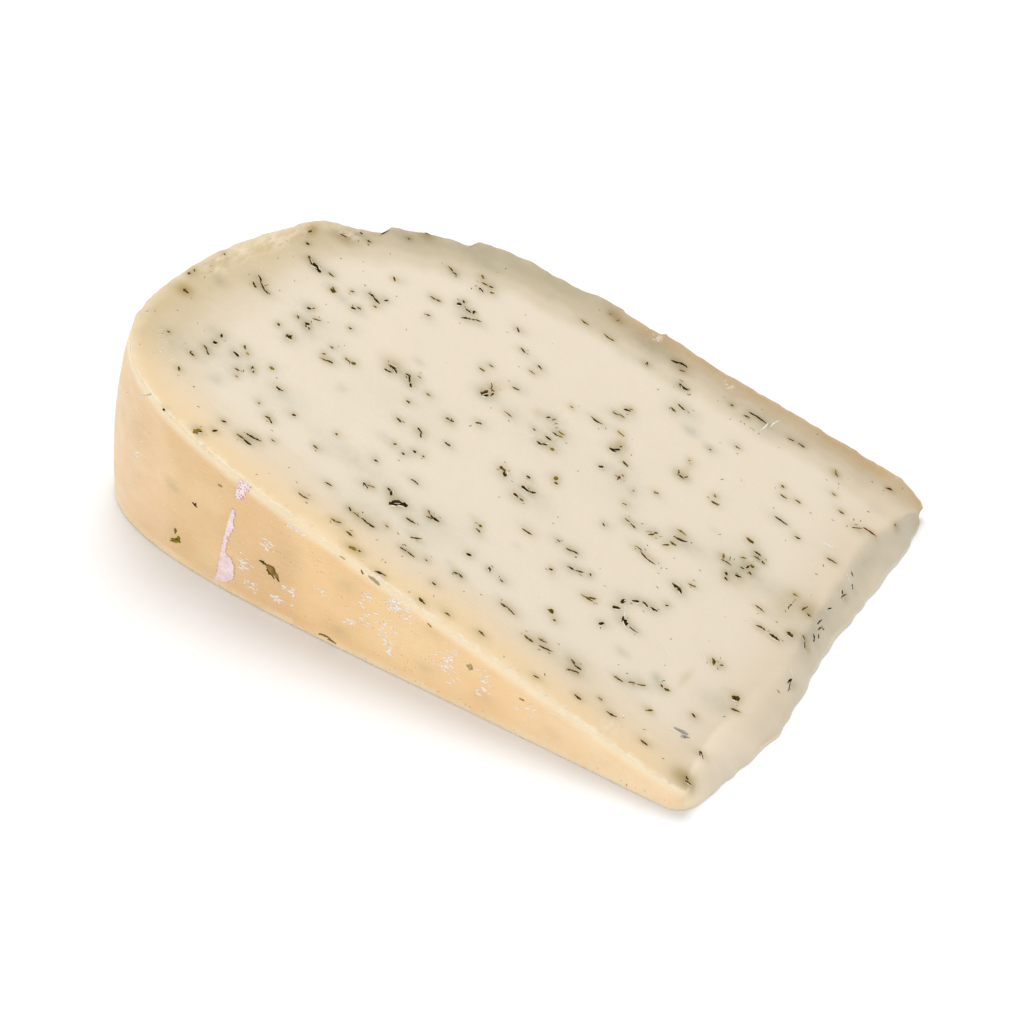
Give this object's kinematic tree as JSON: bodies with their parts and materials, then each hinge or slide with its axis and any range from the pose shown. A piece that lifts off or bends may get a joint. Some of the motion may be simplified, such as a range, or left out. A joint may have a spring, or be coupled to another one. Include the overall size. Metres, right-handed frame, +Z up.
{
  "type": "cheese wedge",
  "caption": "Thin wedge of pressed herb cheese cut from a flat round wheel, lying on a cut face, with rind on three sides and a broken-off point.",
  "frame": {"origin": "under the middle of the wedge's bounding box, on the cut face that it rests on", "axes": "+X from the thick rounded rim to the thin broken point, +Y from the front rind to the back rind, along the wheel's axis, +Z up from the resting face"},
  "size_m": [0.1606, 0.1016, 0.0474],
  "materials": {
    "herb_cheese": null
  },
  "bodies": {
    "root": {"cheese_wedge": "herb_cheese"}
  },
  "joints": []
}
